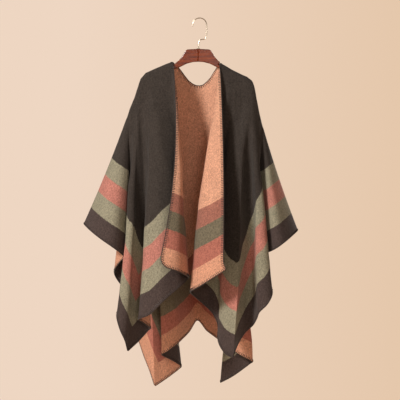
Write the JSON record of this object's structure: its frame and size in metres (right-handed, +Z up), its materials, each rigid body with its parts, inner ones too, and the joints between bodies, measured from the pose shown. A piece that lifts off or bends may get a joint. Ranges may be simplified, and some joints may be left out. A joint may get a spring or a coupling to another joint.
{
  "type": "open-front blanket poncho on a wooden clothes hanger",
  "caption": "Open-front double-faced blanket poncho with a banded, stitched edge, hung on a wooden hanger with a wire hook.",
  "frame": {"origin": "inside top of the hanger's hook, where it hangs on a rail", "axes": "+Z up, the open front faces -Y, +X to the viewer's right seen from the front"},
  "size_m": [0.6688, 0.3587, 1.156],
  "materials": {
    "double_cloth": "brushed double-faced wool-like cloth, charcoal field with olive and dusty pink bands outside, salmon inside",
    "varnished_wood": "red-brown gloss varnish",
    "hook_wire": "pale nickel-plated wire"
  },
  "bodies": {
    "root": {"front_left": "double_cloth", "front_right": "double_cloth", "back_left": "double_cloth", "back_right": "double_cloth", "hanger_left": "varnished_wood", "hanger_right": "varnished_wood", "hook": "hook_wire", "ferrule": "hook_wire"}
  },
  "joints": []
}
